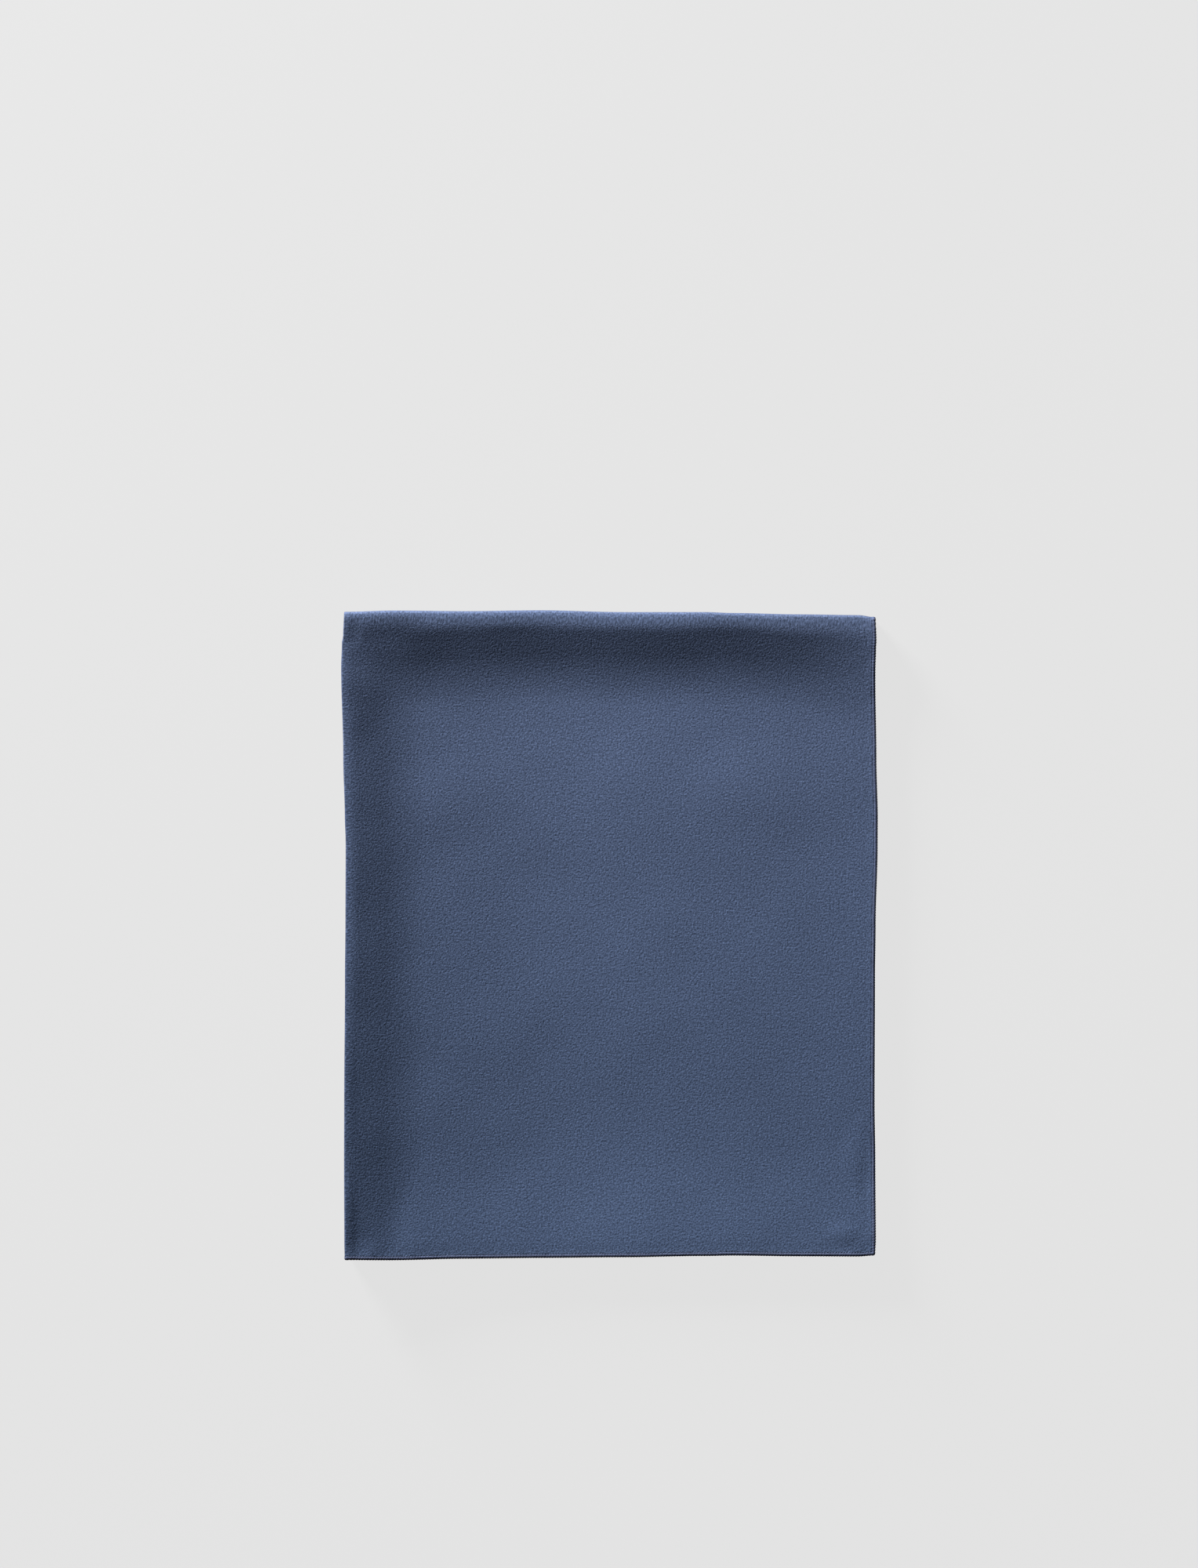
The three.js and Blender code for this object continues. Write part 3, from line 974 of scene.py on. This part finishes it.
class ScarfFinish(PropertyGroup):
    """Colours and grain of the crepe."""

    cloth_colour: FloatVectorProperty(
        name="Cloth colour",
        description="Colour of the crepe",
        default=(0.07, 0.0985, 0.172),
        size=3,
        subtype="COLOR",
    )
    hem_colour: FloatVectorProperty(
        name="Hem colour",
        description="Colour of the rolled hems",
        default=(0.074, 0.094, 0.161),
        size=3,
        subtype="COLOR",
    )
    # Painted shade: this darker colour stands in for the shade where the cloth turns over at a hem,
    # the crease or the roll
    edge_shade_colour: FloatVectorProperty(
        name="Painted edge shade",
        description="Colour of the cloth where it turns over at a hem, the crease or the roll",
        subtype="COLOR",
        size=3,
        default=(0.033, 0.035, 0.059),
    )
    end_tint: FloatVectorProperty(
        name="End tint",
        description="Tint of the cloth at its outer end",
        subtype="COLOR",
        size=3,
        default=(0.97, 1.0, 1.015),
    )
    fold_tint: FloatVectorProperty(
        name="Fold tint",
        description="Tint of the cloth at the rolled fold",
        subtype="COLOR",
        size=3,
        default=(1.04, 1.0, 0.995),
    )
    thread_colour: FloatVectorProperty(
        name="Thread colour",
        description="Colour of the sewing thread",
        default=(0.12, 0.16, 0.26),
        size=3,
        subtype="COLOR",
    )
    grain_contrast: FloatProperty(
        name="Grain contrast",
        description="Share by which the grain changes the colour",
        default=0.4,
        subtype="FACTOR",
    )
    clouding: FloatProperty(
        name="Clouding",
        description="Share by which the colour varies over the cloth",
        default=0.03,
        subtype="FACTOR",
    )
    roughness: FloatProperty(
        name="Roughness", description="Roughness of the crepe", default=0.82, subtype="FACTOR"
    )
    pebble_size: FloatProperty(
        name="Pebble size", description="Size of the crepe's pebbles", default=0.0016, unit="LENGTH"
    )
    pebble_depth: FloatProperty(
        name="Pebble depth", description="Depth of the grain", default=0.00024, unit="LENGTH"
    )
    thread_size: FloatProperty(
        name="Thread size", description="Size of the threads", default=0.0012, unit="LENGTH"
    )
    cloud_size: FloatProperty(
        name="Cloud size", description="Size of the colour's clouds", default=0.03, unit="LENGTH"
    )


class ScarfStage(PropertyGroup):
    """The floor, the lights and the camera."""

    floor_glow: FloatProperty(
        name="Floor glow", description="Light that the pale floor gives off", default=0.742
    )
    floor_shade: FloatProperty(
        name="Floor shade", description="Share of the light that the floor returns", default=0.035
    )
    room_light: FloatProperty(
        name="Room light", description="Strength of the light from all round", default=0.06
    )
    key_power: FloatProperty(
        name="Key power", description="Power of the large soft lamp", default=455.0, unit="POWER"
    )
    key_size: FloatProperty(
        name="Key size", description="Side of the large soft lamp", default=0.85, unit="LENGTH"
    )
    key_distance: FloatProperty(
        name="Key distance", description="From the scarf to the lamp", default=3.2, unit="LENGTH"
    )
    key_turn: FloatProperty(
        name="Key turn",
        description="How far left of the top the lamp stands",
        default=float(np.radians(36)),
        subtype="ANGLE",
    )
    key_height: FloatProperty(
        name="Key height",
        description="How far above the surface the lamp stands",
        default=float(np.radians(12.5)),
        subtype="ANGLE",
    )
    camera_height: FloatProperty(
        name="Camera height",
        description="From the cloth to the camera",
        default=2.859,
        unit="LENGTH",
    )
    camera_lens: FloatProperty(
        name="Camera lens", description="Focal length in millimetres", default=100.0
    )


class SCARF_OT_hems(Operator):
    """Builds the four rolled hems, each standing for its solid"""

    bl_idname = "scarf.hems"
    bl_label = "Rolled hems"

    def execute(self, context):
        sizes, finish = context.scene.scarf_sizes, context.scene.scarf_finish
        material = cloth_material(
            "Rolled crepe hem", finish, finish.hem_colour, HEM_GRAIN, drifts=False
        )
        for node, edge, side_edge_shade in HEM_EDGES:
            points, faces, uv, edge_shade = tube(
                hem_line(sizes, edge),
                sizes.hem_width / MM,
                sizes.hem_height / MM,
                sizes.pucker,
                sizes.stitch_pitch / MM,
                side_edge_shade,
            )
            piece = new_piece("rolled_" + node, to_frame(points), faces, material, uv, edge_shade)
            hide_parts(node)
            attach(piece, BODY)
        return {"FINISHED"}


class SCARF_OT_stitches(Operator):
    """Builds the row of small stitches beside each hem"""

    bl_idname = "scarf.stitches"
    bl_label = "Hem stitches"

    def execute(self, context):
        sizes = context.scene.scarf_sizes
        points, edges, facing = [], [], []
        for _, edge, _ in HEM_EDGES:
            centres, inward, off, _ = hem_line(sizes, edge)
            line = (
                centres
                + inward * (sizes.hem_width / 2 + sizes.stitch_width * STITCH_BESIDE) / MM
                - off * (sizes.cloth_thickness / 2 - sizes.stitch_width * STITCH_SUNK) / MM
            )
            start = len(points)
            points.extend(to_frame(line).tolist())
            facing.extend((-off).tolist())
            edges.extend([start + i, start + i + 1] for i in range(len(line) - 1))
        mesh = bpy.data.meshes.new("hem_stitches")
        mesh.from_pydata(points, edges, [])
        layer = mesh.attributes.new(FACING_NAME, "FLOAT_VECTOR", "POINT")
        layer.data.foreach_set("vector", np.array(facing, np.float32).ravel())
        piece = bpy.data.objects.new("hem_stitches", mesh)
        context.scene.collection.objects.link(piece)
        modifier = piece.modifiers.new("Stitches", "NODES")
        modifier.node_group = stitch_tree()
        set_inputs(
            modifier,
            {
                "Stitch pitch": sizes.stitch_pitch,
                "Stitch length": sizes.stitch_length,
                "Stitch width": sizes.stitch_width,
                "Unevenness": sizes.stitch_unevenness,
                "Seed": sizes.stitch_seed,
                "Thread": thread_material(context.scene.scarf_finish),
            },
        )
        made_plain(piece)
        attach(piece, BODY)
        return {"FINISHED"}


class SCARF_OT_cloth(Operator):
    bl_idname = "scarf.cloth"
    bl_label = "Folded cloth"

    def execute(self, context):
        sizes = context.scene.scarf_sizes
        steps = STEPS["cloth"]
        grid, along, across = scarf_surface(sizes, sizes.hem_width / MM / 2, steps)
        points, faces = closed_sheet(grid, surface_normals(grid), sizes.cloth_thickness / MM)
        uv = np.stack([across.ravel(), along.ravel()], axis=-1) * MM
        run, roll = steps["runs"][0], steps["turns"][0]
        outer, crease, _ = steps["across"]
        # Painted shade across the rolled fold and the crease
        edge_shade = np.zeros(grid.shape[:2])
        edge_shade[run + 1 : run + roll] = ROLL_EDGE_SHADE * half_wave(roll)[:, None]
        edge_shade[:, outer + 1 : outer + crease] = np.sqrt(half_wave(crease))
        finish = context.scene.scarf_finish
        piece = new_piece(
            "folded_crepe",
            to_frame(points),
            faces,
            cloth_material("Slate crepe", finish, finish.cloth_colour, 1.0, drifts=True),
            np.concatenate([uv, uv]),
            np.tile(edge_shade.ravel(), 2),
        )
        strip = len(border(*grid.shape[:2]))
        piece.data.polygons.foreach_set("use_smooth", np.arange(len(faces)) < len(faces) - strip)
        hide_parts("crepe_panel")
        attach(piece, BODY)
        return {"FINISHED"}


def aimed(location, target):
    """The rotation that points a lamp or camera from its place at a target."""
    return (Vector(target) - Vector(location)).to_track_quat("-Z", "Y").to_euler()


class SCARF_OT_stage(Operator):
    """Builds the pale floor, the soft light and the camera above the scarf"""

    bl_idname = "scarf.stage"
    bl_label = "Stage"

    def execute(self, context):
        settings = context.scene.scarf_stage
        self.floor(context, settings)
        self.lights(context, settings)
        self.camera(context, settings)
        context.scene.view_settings.view_transform = "Standard"
        return {"FINISHED"}

    def floor(self, context, settings):
        material, _, shader = new_material("Pale floor")
        shader.inputs["Base Color"].default_value = (settings.floor_shade,) * 3 + (1.0,)
        shader.inputs["Roughness"].default_value = 1.0
        shader.inputs["Specular IOR Level"].default_value = 0.0
        shader.inputs["Emission Color"].default_value = (1.0, 1.0, 1.0, 1.0)
        shader.inputs["Emission Strength"].default_value = settings.floor_glow
        half = FLOOR_SIDE / 2
        corners = np.array([[-half, -half, 0], [half, -half, 0], [half, half, 0], [-half, half, 0]])
        floor = new_piece("pale_floor", corners, [[0, 1, 2, 3]], material)

    def lights(self, context, settings):
        lamp = bpy.data.lights.new("key_lamp", "AREA")
        lamp.shape = "SQUARE"
        lamp.size = settings.key_size
        lamp.energy = settings.key_power
        key = bpy.data.objects.new("key_lamp", lamp)
        flat = np.cos(settings.key_height)
        key.location = settings.key_distance * Vector(
            (
                -np.sin(settings.key_turn) * flat,
                np.cos(settings.key_turn) * flat,
                np.sin(settings.key_height),
            )
        )
        key.rotation_euler = aimed(key.location, (0, 0, CLOTH_LEVEL))
        context.scene.collection.objects.link(key)
        world = bpy.data.worlds.new("Room")
        world.use_nodes = True
        background = world.node_tree.nodes["Background"]
        background.inputs["Color"].default_value = (1.0, 1.0, 1.0, 1.0)
        background.inputs["Strength"].default_value = settings.room_light
        context.scene.world = world

    def camera(self, context, settings):
        lens = bpy.data.cameras.new("camera")
        lens.lens = settings.camera_lens
        lens.sensor_width = SENSOR
        camera = bpy.data.objects.new("camera", lens)
        camera.location = (*PICTURE_OFFSET, CLOTH_LEVEL + settings.camera_height)
        context.scene.collection.objects.link(camera)
        context.scene.camera = camera


OPERATORS = (SCARF_OT_hems, SCARF_OT_stitches, SCARF_OT_cloth, SCARF_OT_stage)
SETTINGS = (
    ("scarf_sizes", ScarfSizes),
    ("scarf_finish", ScarfFinish),
    ("scarf_stage", ScarfStage),
)


class SCARF_PT_panel(Panel):
    """Lists the scarf's sizes, finish and stage, and the steps that build it"""

    bl_idname = "SCARF_PT_panel"
    bl_label = "Folded crepe scarf"
    bl_space_type = "VIEW_3D"
    bl_region_type = "UI"
    bl_category = "Scarf"

    def draw(self, context):
        for name, group in SETTINGS:
            box = self.layout.box()
            settings = getattr(context.scene, name)
            for prop in group.__annotations__:
                box.prop(settings, prop)
        for operator in OPERATORS:
            self.layout.operator(operator.bl_idname)


CLASSES = (ScarfSizes, ScarfFinish, ScarfStage, *OPERATORS, SCARF_PT_panel)


def register():
    for item in CLASSES:
        bpy.utils.register_class(item)
    for name, group in SETTINGS:
        setattr(bpy.types.Scene, name, PointerProperty(type=group))


def unregister():
    for name, _ in SETTINGS:
        delattr(bpy.types.Scene, name)
    for item in reversed(CLASSES):
        bpy.utils.unregister_class(item)


def main():
    register()
    bpy.ops.scarf.hems()
    bpy.ops.scarf.stitches()
    bpy.ops.scarf.cloth()
    bpy.ops.scarf.stage()


if __name__ == "__main__":
    main()
